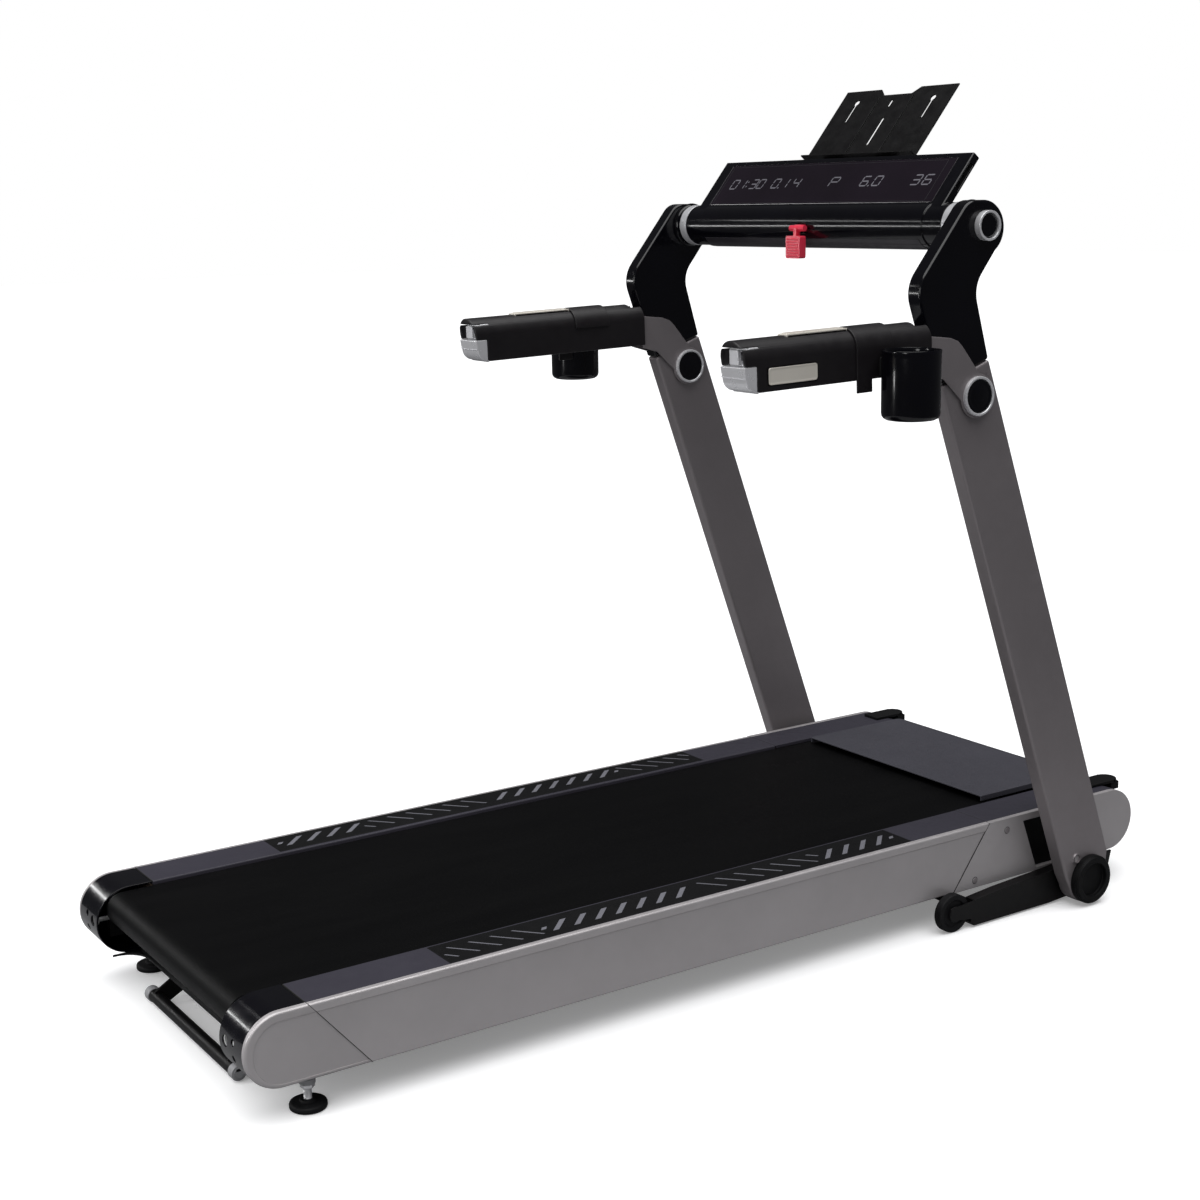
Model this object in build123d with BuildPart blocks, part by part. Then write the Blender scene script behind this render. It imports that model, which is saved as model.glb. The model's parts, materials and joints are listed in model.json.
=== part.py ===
from build123d import *
import math
import os

os.makedirs("parts", exist_ok=True)

# Overall deck
SIDE_X = 345.0
SKIN = 10.0
RAIL_IN = 256.0
DECK_TOP = 171.0
DECK_BOT = 58.0
CAP_R = (DECK_TOP - DECK_BOT) / 2
CAP_Z = (DECK_TOP + DECK_BOT) / 2
REAR_CAP_Y = -832.5
FRONT_CAP_Y = 828.0
REAR_SEAM_TOP = -790.0
REAR_SEAM_BOT = -695.0
FRONT_SEAM_TOP = 517.0
FRONT_SEAM_BOT = 432.0
SEAM = 0.5
GRIP_IN = 262.0
GRIP_OUT = 334.0
GRIP_REAR = -560.0
GRIP_FRONT = 342.0

# Belt, board and rollers
BELT_X = 250.0
BELT_TOP = 166.0
BELT_T = 2.5
ROLLER_R = 25.0
ROLLER_Z = BELT_TOP - BELT_T - ROLLER_R
ROLLER_REAR_Y = -845.0
ROLLER_FRONT_Y = 640.0
BOARD_X = 300.0
BOARD_T = 18.0
AXLE_R = 8.0

# Motor bay
HOOD_X = 241.0
HOOD_TOP = 178.0
HOOD_REAR = 599.0
HOOD_FRONT = 826.0
MOTOR_Y = 770.0
MOTOR_Z = 112.0
MOTOR_R = 40.0
PULLEY_X = -262.0

# Uprights
UP_IN = 377.0
UP_OUT = 408.0
UP_MID = (UP_IN + UP_OUT) / 2
HUB_Y = 702.0
HUB_Z = 48.0
LEAN = 0.364
UP_FRONT_0 = 784.8
UP_REAR_0 = 667.9
SEAM_FRONT = (428.0, 980.0)

# Console axis and handle pivot
CON_Y = 407.0
CON_Z = 1204.0
CON_R = 39.0
SLEEVE_R = 37.0
PIVOT_Y = 395.0
PIVOT_Z = 935.0

# Incline frame
WHEEL_Y = 412.0
WHEEL_R = 34.0
ARM_IN = 351.0
ARM_OUT = 374.0


def save(piece, name):
    piece.part.label = name
    export_step(piece.part, f"parts/{name}.step")


def block(x0, x1, y0, y1, z0, z1, mode=Mode.ADD):
    with Locations(((x0 + x1) / 2, (y0 + y1) / 2, (z0 + z1) / 2)):
        Box(abs(x1 - x0), abs(y1 - y0), abs(z1 - z0), mode=mode)


def rod_x(x0, x1, y, z, r, mode=Mode.ADD):
    with Locations(((x0 + x1) / 2, y, z)):
        Cylinder(r, abs(x1 - x0), rotation=(0, 90, 0), mode=mode)


def rod_y(x, y0, y1, z, r, mode=Mode.ADD):
    with Locations((x, (y0 + y1) / 2, z)):
        Cylinder(r, abs(y1 - y0), rotation=(90, 0, 0), mode=mode)


def rod_z(x, y, z0, z1, r, mode=Mode.ADD):
    with Locations((x, y, (z0 + z1) / 2)):
        Cylinder(r, abs(z1 - z0), mode=mode)


def side_plate(points, x0, x1, mode=Mode.ADD, rounds=None):
    """A flat plate from x0 to x1 whose outline is (y, z) points; rounds gives some corners a radius."""
    with BuildSketch(Plane.YZ.offset(min(x0, x1))) as outline:
        Polygon(*points, align=None)
        for index, radius in (rounds or {}).items():
            y, z = points[index]
            near = outline.vertices().sort_by(lambda v: math.hypot(v.X - y, v.Y - z))
            fillet(near[0], radius)
    extrude(outline.sketch, amount=abs(x1 - x0), mode=mode)


def cap_outline(y_cap, y_top, y_bot, radius, top, bot):
    """The rounded outline shared by the side caps, as a sketch."""
    with Locations((y_cap, (top + bot) / 2)):
        Circle(radius)
    Polygon((y_cap, bot), (y_bot, bot), (y_top, top), (y_cap, top), align=None)


def cap_plate(y_cap, y_top, y_bot, x0, x1, inset=0.0, mode=Mode.ADD):
    with BuildSketch(Plane.YZ.offset(min(x0, x1))) as outline:
        cap_outline(y_cap, y_top, y_bot, CAP_R - inset, DECK_TOP - inset, DECK_BOT + inset)
    extrude(outline.sketch, amount=abs(x1 - x0), mode=mode)


def up_y(z, base):
    return base - LEAN * z


SIDES = (-1, 1)


def side_panels():
    x0, x1 = SIDE_X - SKIN, SIDE_X
    with BuildPart() as panels:
        for s in SIDES:
            side_plate(
                [(REAR_SEAM_TOP, DECK_TOP), (REAR_SEAM_BOT, DECK_BOT),
                 (FRONT_SEAM_BOT, DECK_BOT), (FRONT_SEAM_TOP, DECK_TOP)],
                s * x0, s * x1)
        top = panels.edges().filter_by(Axis.Y).group_by(Axis.Z)[-1]
        fillet([e for e in top if abs(e.center().X) > SIDE_X - 1], 4)
    save(panels, "side_panels")
    with BuildPart() as caps:
        for s in SIDES:
            cap_plate(REAR_CAP_Y, REAR_SEAM_TOP - 2 * SEAM, REAR_SEAM_BOT - 2 * SEAM, s * x0, s * x1)
        rim = [e for e in caps.edges() if abs(e.center().X) > SIDE_X - 1 and e.length > 100]
        fillet([e for e in rim if e.center().Y < REAR_SEAM_TOP - 10], 4)
    save(caps, "rear_side_caps")
    with BuildPart() as covers:
        for s in SIDES:
            cap_plate(FRONT_CAP_Y, FRONT_SEAM_TOP + 2 * SEAM, FRONT_SEAM_BOT + 2 * SEAM, s * x0, s * x1)
            side_plate([(600, 158), (636, 64), (790, 64), (754, 158)], s * x0, s * x1, Mode.SUBTRACT)
    save(covers, "front_side_covers")


def rails():
    with BuildPart() as rail:
        for s in SIDES:
            block(s * RAIL_IN, s * (SIDE_X - SKIN), REAR_SEAM_TOP, FRONT_SEAM_TOP, 164, DECK_TOP)
        top = rail.edges().filter_by(Axis.Y).group_by(Axis.Z)[-1]
        fillet([e for e in top if abs(e.center().X) < RAIL_IN + 1], 3)
        for s in SIDES:
            block(s * GRIP_IN, s * GRIP_OUT, GRIP_REAR, GRIP_FRONT, DECK_TOP - 0.6, DECK_TOP, Mode.SUBTRACT)
    save(rail, "foot_rails")
    with BuildPart() as strips:
        for s in SIDES:
            block(s * GRIP_IN, s * GRIP_OUT, GRIP_REAR, GRIP_FRONT, DECK_TOP - 0.6, DECK_TOP + 0.8)
    save(strips, "grip_strips")
    with BuildPart() as corners:
        for s in SIDES:
            cap_plate(REAR_CAP_Y, REAR_SEAM_TOP - 3, -760, s * RAIL_IN, s * (SIDE_X - SKIN))
            cap_plate(REAR_CAP_Y, REAR_SEAM_TOP + 5, -750, s * (RAIL_IN - 1), s * (SIDE_X - SKIN - 3), 3,
                      Mode.SUBTRACT)
            for z in (100, 124):
                rod_y(s * 302, -900, -850, z, 5, Mode.SUBTRACT)
            rod_y(s * 276, -900, -850, 118, 8.5, Mode.SUBTRACT)
            rod_z(s * 307, -782, 50, 80, 12.5, Mode.SUBTRACT)
    save(corners, "rear_corner_caps")
    with BuildPart() as fronts:
        for s in SIDES:
            cap_plate(FRONT_CAP_Y, FRONT_SEAM_TOP + 2 * SEAM, 560, s * RAIL_IN, s * (SIDE_X - SKIN))
            cap_plate(FRONT_CAP_Y, FRONT_SEAM_TOP - 5, 550, s * (RAIL_IN + 3), s * (SIDE_X - SKIN + 1), 3,
                      Mode.SUBTRACT)
            block(s * (RAIL_IN - 1), s * (RAIL_IN + 4), 510, 900, 40, 164, Mode.SUBTRACT)
            block(s * 289, s * 330, 664, 821, 50, 62, Mode.SUBTRACT)
    save(fronts, "front_rail_covers")


def frame():
    with BuildPart() as side_rails:
        for s in SIDES:
            block(s * 285, s * 329, -812, 800, 72, 140)
            block(s * 288, s * 326, -815, 805, 75, 137, Mode.SUBTRACT)
            block(s * 284, s * 295, -858, -812, 80, 156)
            block(s * 284, s * 290, 615, 665, 140, 156)
            rod_x(s * 280, s * 300, ROLLER_REAR_Y, ROLLER_Z, AXLE_R, Mode.SUBTRACT)
            rod_x(s * 280, s * 300, ROLLER_FRONT_Y, ROLLER_Z, AXLE_R, Mode.SUBTRACT)
            rod_x(s * 295.2, s * 299.2, ROLLER_FRONT_Y, ROLLER_Z, 12, Mode.SUBTRACT)
    save(side_rails, "side_rails")
    with BuildPart() as cross:
        for y in (-740, -300, 160, 520):
            block(-285, 285, y - 20, y + 20, 72, 102)
            block(-286, 286, y - 17, y + 17, 75, 99, Mode.SUBTRACT)
    save(cross, "cross_members")
    with BuildPart() as valance:
        side_plate([(-822, 56), (-822, 60), (-778, 98), (-766, 98), (-766, 56)], -255, 255)
        side_plate([(-814, 59), (-776, 92), (-769, 92), (-769, 59)], -252, 252, Mode.SUBTRACT)
        for s in SIDES:
            with BuildSketch(Plane.XY.offset(56)) as skirt:
                Polygon((s * 205, -800), (s * 205, -822), (s * 255, -822), (s * 255, -800), align=None)
                Polygon((s * 215, -820), (s * 255, -866), (s * 255, -820), align=None)
                with Locations((s * 213, -864)):
                    Circle(42, mode=Mode.SUBTRACT)
            extrude(skirt.sketch, amount=4)
        block(-255, 255, 560, 850, 58, 61)
        block(-255, 255, 560, 563, 61, 70)
    save(valance, "under_covers")


def belt_and_board():
    with BuildPart() as board:
        block(-BOARD_X, BOARD_X, -800, 595, 145, 145 + BOARD_T)
        for x in (-292, 292):
            for y in (-700, -250, 200, 540):
                rod_z(x, y, 158, 164, 6, Mode.SUBTRACT)
                rod_z(x, y, 140, 164, 3.2, Mode.SUBTRACT)
    save(board, "running_board")
    with BuildPart() as cushions:
        for x in (-292, 292):
            for y in (-560, -380, -100, 50, 350):
                block(x - 8, x + 8, y - 25, y + 25, 140, 145)
    save(cushions, "deck_cushions")
    with BuildPart() as belt:
        outer_r = ROLLER_R + BELT_T
        for radius, mode in ((outer_r, Mode.ADD), (ROLLER_R + 0.05, Mode.SUBTRACT)):
            with BuildSketch(Plane.YZ.offset(-BELT_X)):
                for y in (ROLLER_REAR_Y, ROLLER_FRONT_Y):
                    with Locations((y, ROLLER_Z)):
                        Circle(radius)
                mid = (ROLLER_REAR_Y + ROLLER_FRONT_Y) / 2
                with Locations((mid, ROLLER_Z)):
                    Rectangle(ROLLER_FRONT_Y - ROLLER_REAR_Y, 2 * radius)
            extrude(amount=2 * BELT_X, mode=mode)
    save(belt, "running_belt")
    for name, y in (("rear_roller", ROLLER_REAR_Y), ("front_roller", ROLLER_FRONT_Y)):
        with BuildPart() as roller:
            rod_x(-256, 256, y, ROLLER_Z, ROLLER_R - 0.3)
            if name == "front_roller":
                rod_x(-280, -256, y, ROLLER_Z, 21)
                for x in (-275, -270, -265, -260):
                    rod_x(x - 1.2, x + 1.2, y, ROLLER_Z, 22, Mode.ADD)
            rod_x(-282, 262, y, ROLLER_Z, AXLE_R + 0.05, Mode.SUBTRACT)
        save(roller, name)
    with BuildPart() as axles:
        for y in (ROLLER_REAR_Y, ROLLER_FRONT_Y):
            rod_x(-297, 297, y, ROLLER_Z, AXLE_R)
            for s in SIDES:
                rod_x(s * 295.2, s * 299, y, ROLLER_Z, 12)
    save(axles, "roller_axles")
    with BuildPart() as screws:
        for s in SIDES:
            rod_y(s * 276, -880, -826, 118, 4)
            rod_y(s * 276, -885, -880, 118, 8)
            block(s * 268, s * 284, -833, -826, 104, 130)
        for x in (-292, 292):
            for y in (-700, -250, 200, 540):
                rod_z(x, y, 160.2, 163, 5.5)
                rod_z(x, y, 142, 160.2, 3)
    save(screws, "frame_screws")


def hood_outline(inset):
    r = HOOD_TOP - CAP_Z - inset
    with Locations((HOOD_FRONT, CAP_Z)):
        Circle(r)
    Polygon((HOOD_REAR, HOOD_TOP - inset), (HOOD_FRONT, HOOD_TOP - inset), (HOOD_FRONT, CAP_Z - r),
            (HOOD_REAR, CAP_Z - r), align=None)


def motor_bay():
    with BuildPart() as hood:
        for inset, x, mode in ((0, HOOD_X, Mode.ADD), (3, HOOD_X - 3, Mode.SUBTRACT)):
            with BuildSketch(Plane.YZ.offset(-x)):
                hood_outline(inset)
            extrude(amount=2 * x, mode=mode)
        block(-250, 250, 590, HOOD_FRONT, 40, 167.5, Mode.SUBTRACT)
        block(-250, 250, 700, 900, 40, 61.5, Mode.SUBTRACT)
        block(-178, -146, 870, 900, 84, 108, Mode.SUBTRACT)
        block(-128, -102, 870, 900, 84, 108, Mode.SUBTRACT)
        block(-230, 230, 590, 605, 150, 174, Mode.SUBTRACT)
    save(hood, "motor_hood")
    with BuildPart() as inlet:
        block(-177.6, -146.4, 872, 888.5, 84.4, 107.6)
        block(-172, -152, 876, 890, 88, 104, Mode.SUBTRACT)
        for x in (-168, -162, -156):
            block(x - 1, x + 1, 872, 884, 93, 98)
        block(-127.6, -102.4, 872, 888.5, 84.4, 107.6)
        block(-124, -106, 874, 890, 87, 105, Mode.SUBTRACT)
    save(inlet, "power_inlet")
    with BuildPart() as rocker:
        side_plate([(878, 88.5), (887, 88.5), (886, 96), (889, 103.5), (878, 103.5)], -123.4, -106.6)
    save(rocker, "power_switch")
    with BuildPart() as motor:
        rod_x(-210, 20, MOTOR_Y, MOTOR_Z, MOTOR_R)
        rod_x(-216, 26, MOTOR_Y, MOTOR_Z, 14)
        for x in (-150, -110, -70, -30):
            rod_x(x - 6, x + 6, MOTOR_Y, MOTOR_Z, MOTOR_R + 2)
        block(-190, 0, MOTOR_Y - 34, MOTOR_Y + 34, 61, 80)
        rod_x(-230, 40, MOTOR_Y, MOTOR_Z, 8.05, Mode.SUBTRACT)
    save(motor, "motor_body")
    with BuildPart() as rotor:
        rod_x(-282, 32, MOTOR_Y, MOTOR_Z, 8)
        rod_x(-279, -257, MOTOR_Y, MOTOR_Z, 17.5)
        for x in (-275, -270, -265, -260):
            rod_x(x - 1.2, x + 1.2, MOTOR_Y, MOTOR_Z, 18.5)
        rod_x(-250, -222, MOTOR_Y, MOTOR_Z, 40)
        rod_x(-251, -232, MOTOR_Y, MOTOR_Z, 32, Mode.SUBTRACT)
        rod_x(-251, -222, MOTOR_Y, MOTOR_Z, 12)
    save(rotor, "motor_rotor")
    with BuildPart() as loop:
        for grow, mode in ((3.0, Mode.ADD), (0.4, Mode.SUBTRACT)):
            with BuildSketch(Plane.YZ.offset(-277)):
                with Locations((ROLLER_FRONT_Y, ROLLER_Z)):
                    Circle(22 + grow)
                with Locations((MOTOR_Y, MOTOR_Z)):
                    Circle(18.5 + grow)
                make_hull()
            extrude(amount=18, mode=mode)
    save(loop, "drive_belt")
    with BuildPart() as board:
        block(70, 220, 690, 800, 61, 66)
        block(80, 210, 700, 790, 66, 74)
        for i in range(9):
            block(84 + i * 14, 88 + i * 14, 705, 785, 74, 104)
    save(board, "controller")


def floor_parts():
    with BuildPart() as pads:
        for s in SIDES:
            rod_z(s * 307, -782, 0, 10, 27.5)
            rod_z(s * 307, -782, 10, 14, 12)
    save(pads, "foot_pads")
    with BuildPart() as studs:
        for s in SIDES:
            rod_z(s * 307, -782, 14, 31, 6)
            with BuildSketch(Plane.XY.offset(31)):
                with Locations((s * 307, -782)):
                    RegularPolygon(11, 6)
            extrude(amount=6)
            rod_z(s * 307, -782, 37, 46, 12)
            rod_z(s * 307, -782, 46, 72, 9)
    save(studs, "foot_studs")
    bar_y, bar_z = -832, 14
    with BuildPart() as bar:
        rod_x(-163, 163, bar_y, bar_z, 10.5)
    save(bar, "rear_bar")
    with BuildPart() as ends:
        for s in SIDES:
            rod_x(s * 163, s * 179, bar_y, bar_z, 12.2)
            rod_x(s * 179, s * 180.5, bar_y, bar_z, 8)
    save(ends, "rear_bar_ends")
    with BuildPart() as plates:
        for s in SIDES:
            side_plate([(bar_y - 5, 4), (bar_y + 14, 4), (-740, 46), (-700, 62), (-700, 72), (-764, 72),
                        (-764, 55.6), (-800, 48), (bar_y - 5, 26)], s * 146, s * 151)
            rod_x(s * 140, s * 160, bar_y, bar_z, 10.5, Mode.SUBTRACT)
    save(plates, "rear_bar_plates")
    with BuildPart() as lugs:
        for s in SIDES:
            block(s * 273, s * 314, 806, 872, 171, 176.8)
            rod_z(s * 293.5, 869, 171, 176.8, 20)
            block(s * 275, s * 311, 866, 887, 156, 171)
    save(lugs, "front_lugs")
    with BuildPart() as plugs:
        for s in SIDES:
            for y, z in ((560, 149), (484, 72)):
                rod_x(s * SIDE_X, s * (SIDE_X + 1), y, z, 5.5)
    save(plugs, "screw_plugs")


def incline():
    with BuildPart() as plates:
        for s in SIDES:
            side_plate([(646, 57.5), (640, 20), (660, 8), (740, 8), (816, 13), (828, 57.5)],
                       s * 345.5, s * 350.5)
            block(s * 290, s * 350.5, 665, 820, 50, 57.5)
            block(s * 290, s * 329, 690, 730, 57.5, 72)
            block(s * 290, s * 329, 770, 800, 57.5, 72)
            rod_x(s * 340, s * 352, HUB_Y, HUB_Z, 14, Mode.SUBTRACT)
    save(plates, "hub_plates")
    for tag, s in (("l", -1), ("r", 1)):
        with BuildPart() as wheel:
            rod_x(s * 354.5, s * 370.5, WHEEL_Y, WHEEL_R, WHEEL_R)
            rod_x(s * 354, s * 357, WHEEL_Y, WHEEL_R, 24, Mode.SUBTRACT)
            rod_x(s * 368, s * 371, WHEEL_Y, WHEEL_R, 24, Mode.SUBTRACT)
            rod_x(s * 354.5, s * 370.5, WHEEL_Y, WHEEL_R, 9)
            rod_x(s * 350, s * 375, WHEEL_Y, WHEEL_R, 5.05, Mode.SUBTRACT)
        save(wheel, f"transport_wheel_{tag}")
    with BuildPart() as arms:
        for s in SIDES:
            side_plate([(456, 3), (640, 3), (690, 6), (702, 26), (702, 70), (660, 64), (520, 56),
                        (456, 50), (448, 12)], s * 351.2, s * 373.8)
            rod_x(s * 351.2, s * 373.8, HUB_Y, HUB_Z, 36)
            for x0, x1 in ((351.2, 353.8), (371.2, 373.8)):
                side_plate([(400, 24), (400, 46), (470, 50), (470, 14)], s * x0, s * x1)
                rod_x(s * x0, s * x1, WHEEL_Y, WHEEL_R, 14)
            rod_x(s * 350, s * 375, HUB_Y, HUB_Z, 14.05, Mode.SUBTRACT)
            rod_x(s * 351.2, s * 373.8, WHEEL_Y, WHEEL_R, 5)
        rod_x(-352, 352, 474, 26, 12)
        side_plate([(468, 20), (500, 30), (500, 46), (468, 38)], -22, -14)
        side_plate([(468, 20), (500, 30), (500, 46), (468, 38)], 14, 22)
    save(arms, "incline_frame")
    with BuildPart() as drive:
        block(-30, 30, 600, 668, 20, 52)
        rod_y(0, 540, 600, 38, 13)
        block(-12, 12, 640, 690, 52, 58)
        rod_y(0, 530, 600, 38, 7.06, Mode.SUBTRACT)
    save(drive, "incline_motor")
    with BuildPart() as push:
        rod_y(0, 505, 595, 38, 7)
        rod_x(-10, 10, 500, 38, 9)
    save(push, "incline_rod")


H_SLOPE = math.radians(1.7)
H_REAR = -95.0
H_MID_Z = 1009.5
H_HALF = 39.0
H_R = 30.0


def handle_plane(s, along=0.0):
    c, n = math.cos(H_SLOPE), math.sin(H_SLOPE)
    origin = (s * UP_MID, H_REAR + along * c, H_MID_Z + along * n)
    return Plane(origin=origin, x_dir=(-1, 0, 0), z_dir=(0, c, n))


def handle_profile(grow=0.0):
    with Locations((0, H_HALF - H_R)):
        Circle(H_R + grow)
    with Locations((0, (H_HALF - H_R - H_HALF) / 2)):
        Rectangle(2 * (H_R + grow), 2 * H_HALF - H_R)


def handle_box(s, x0, x1, y0, y1, z0, z1, mode=Mode.ADD):
    """x outwards from the handle's middle, y up, z forwards along the handle."""
    with Locations(handle_plane(s)):
        with Locations((-s * (x0 + x1) / 2, (y0 + y1) / 2, (z0 + z1) / 2)):
            Box(abs(x1 - x0), abs(y1 - y0), abs(z1 - z0), mode=mode)


def uprights():
    seam_rear = (320.5, 954.4)
    with BuildPart() as posts:
        for s in SIDES:
            side_plate([(667, 24), (662, 28), (659, 36), (up_y(60, UP_REAR_0), 60), seam_rear, (423.7, 992),
                        (up_y(90, UP_FRONT_0), 90), (747, HUB_Z)], s * UP_IN, s * UP_OUT)
            rod_x(s * UP_IN, s * UP_OUT, HUB_Y, HUB_Z, 45)
            rod_x(s * 376, s * 409, HUB_Y, HUB_Z, 14.05, Mode.SUBTRACT)
            rod_x(s * 376, s * 409, PIVOT_Y, PIVOT_Z, 10.05, Mode.SUBTRACT)
            rod_x(s * UP_OUT, s * (UP_OUT + 1.2), 668, 92, 7.5)
    save(posts, "upright_posts")
    with BuildPart() as legs:
        for s in SIDES:
            side_plate([(320.2, 955.2), (263.7, 1110.8), (371.6, 1244), (407, 1244), (442, 1176),
                        (389, 1108.6), (423.4, 992.8)], s * UP_IN, s * UP_OUT,
                       rounds={1: 52, 2: 32, 5: 48})
            rod_x(s * UP_IN, s * UP_OUT, CON_Y, CON_Z - 4, 44)
            rod_x(s * 365, s * UP_IN, CON_Y, CON_Z, SLEEVE_R - 1)
            rod_x(s * 350, s * 400, CON_Y, CON_Z, 12.05, Mode.SUBTRACT)
            rod_x(s * 411, s * 417.5, CON_Y, CON_Z, 19.9)
            rod_x(s * UP_OUT, s * 411, CON_Y, CON_Z, 19.9)
    save(legs, "doglegs")
    with BuildPart() as pins:
        for s in SIDES:
            rod_x(s * 345.5, s * 407.4, HUB_Y, HUB_Z, 14)
    save(pins, "hub_pins")
    with BuildPart() as caps:
        for s in SIDES:
            rod_x(s * UP_OUT, s * 421, HUB_Y, HUB_Z, 44.5)
            rod_x(s * 421, s * 424, HUB_Y, HUB_Z, 42)
            rod_x(s * 415, s * 425, HUB_Y, HUB_Z, 31, Mode.SUBTRACT)
    save(caps, "hub_caps")
    with BuildPart() as rings:
        for s in SIDES:
            rod_x(s * UP_OUT, s * 420, CON_Y, CON_Z, 24)
            rod_x(s * 407, s * 421, CON_Y, CON_Z, 20, Mode.SUBTRACT)
    save(rings, "console_rings")
    with BuildPart() as sleeves:
        for s in SIDES:
            rod_x(s * 346.3, s * 365, CON_Y, CON_Z, SLEEVE_R + 0.5)
            rod_x(s * 346, s * 366, CON_Y, CON_Z, 12.05, Mode.SUBTRACT)
    save(sleeves, "console_sleeves")


def handles():
    with BuildPart() as shell:
        for s in SIDES:
            with BuildSketch(handle_plane(s)):
                handle_profile()
            extrude(amount=380)
            handle_box(s, -31, 31, -H_HALF - 1, -H_HALF + 0.01, -1, 381, Mode.SUBTRACT)
            handle_box(s, -16.2, 16.2, -50, 16, 160, 381, Mode.SUBTRACT)
            handle_box(s, -16.2, 16.2, -50, 50, 356, 381, Mode.SUBTRACT)
            side_plate([(-130, 960), (-74, 960), (-94, 1060), (-130, 1060)], s * 350, s * 430, Mode.SUBTRACT)
            handle_box(s, -24, 24, -33, 28, -20, 40, Mode.SUBTRACT)
            handle_box(s, -31, 31, -40, 0.3, -20, 32.3, Mode.SUBTRACT)
            handle_box(s, 28.6, 32, -29.5, -3.5, 52, 146, Mode.SUBTRACT)
            handle_box(s, -11, 11, 36.5, 41, 104, 222, Mode.SUBTRACT)
    save(shell, "handle_shells")
    with BuildPart() as fork:
        for s in SIDES:
            for x0, x1 in ((-20.2, -16.3), (16.3, 20.2)):
                side_plate([(286.7, 1036), (333, 1031), (350, 1025), (360, 1016), (416, 950), (395, 905),
                            (376, 914), (321, 966), (286.7, 976)], s * (UP_MID + x0), s * (UP_MID + x1))
                rod_x(s * (UP_MID + x0), s * (UP_MID + x1), PIVOT_Y, PIVOT_Z, 36)
            rod_x(s * (UP_MID - 18), s * (UP_MID + 18), PIVOT_Y, PIVOT_Z, 10)
    save(fork, "fork_brackets")
    with BuildPart() as ring:
        for s in SIDES:
            for x0, x1 in ((-26.5, -20.2), (20.2, 26.5)):
                rod_x(s * (UP_MID + x0), s * (UP_MID + x1), PIVOT_Y, PIVOT_Z, 32.3)
                rod_x(s * (UP_MID + x0), s * (UP_MID + x1), PIVOT_Y, PIVOT_Z, 27.5, Mode.SUBTRACT)
    save(ring, "pivot_rings")
    with BuildPart() as button:
        for s in SIDES:
            for x0, x1 in ((-25.2, -20.2), (20.2, 25.2)):
                rod_x(s * (UP_MID + x0), s * (UP_MID + x1), PIVOT_Y, PIVOT_Z, 27.5)
    save(button, "pivot_caps")
    corner = [math.radians(180 + 11.25 * i) for i in range(9)]
    chin = [(-62 + 21 * math.cos(a), 993 + 21 * math.sin(a)) for a in reversed(corner)]
    with BuildPart() as end:
        for s in SIDES:
            handle_box(s, -24, 24, -33, 28, 22, 40)
            handle_box(s, -29.5, 29.5, -38.5, 0, 0, 32)
            side_plate([(-130, 960), (-77, 960), (-97, 1060), (-130, 1060)], s * 350, s * 430, Mode.SUBTRACT)
            side_plate(chin + [(-100, 993), (-100, 950), (-62, 950)], s * 350, s * 430, Mode.SUBTRACT)
    save(end, "handle_ends")
    for tag, s in (("l", -1), ("r", 1)):
        with BuildPart() as paddle:
            handle_box(s, -11, 11, 3, 25, 12, 17)
            handle_box(s, -11, 11, 3, 9, 12, 20)
        save(paddle, f"speed_paddle_{tag}")
    with BuildPart() as sensor:
        for s in SIDES:
            handle_box(s, -11, 11, 36.5, 40.6, 104, 222)
            handle_box(s, -8.5, 8.5, 40.6, 42, 110, 216)
    save(sensor, "pulse_sensors")
    with BuildPart() as badge:
        for s in SIDES:
            handle_box(s, 28.6, 31, -29.5, -3.5, 52, 146)
    save(badge, "side_badges")
    with BuildPart() as saddle:
        for s in SIDES:
            with BuildSketch(handle_plane(s, 222)):
                handle_profile(3.6)
            extrude(amount=75)
            with BuildSketch(handle_plane(s, 221)):
                handle_profile(0)
            extrude(amount=77, mode=Mode.SUBTRACT)
            handle_box(s, -40, 29.9, -60, 5, 215, 300, Mode.SUBTRACT)
            handle_box(s, 28, 40, -60, -36, 215, 300, Mode.SUBTRACT)
            handle_box(s, 30.05, 33.6, -58, -34, 222, 252)
    save(saddle, "cup_saddles")
    with BuildPart() as cup:
        for s in SIDES:
            x = s * (UP_MID + 33.7 + 46)
            rod_z(x, 195, 917, 1024, 45.5)
            rod_z(x, 195, 1020, 1024, 45.9)
            rod_z(x, 195, 920, 1025, 43, Mode.SUBTRACT)
            for z0, z1 in ((985, 1000), (958, 962), (930, 934)):
                block(x + s * 20, x + s * 50, 195 + 20, 195 + 28, z0, z1, Mode.SUBTRACT)
            block(s * (UP_MID + 33.65), x - s * 40, 172, 205, 980, 1012)
            rod_z(x, 195, 920, 1025, 43, Mode.SUBTRACT)
    save(cup, "cup_holders")


SLAB_FRONT = Plane(origin=(0, 380, 1226), x_dir=(1, 0, 0), z_dir=(0, -0.7736, 0.6337))
REST_HINGE = (493.0, 1308.5)


def slab_box(x0, x1, up0, up1, d0, d1, mode=Mode.ADD):
    """A block on the display slab: up along its face, d outwards from its face."""
    with Locations(SLAB_FRONT):
        with Locations(((x0 + x1) / 2, (up0 + up1) / 2, (d0 + d1) / 2)):
            Box(x1 - x0, up1 - up0, d1 - d0, mode=mode)


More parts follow.
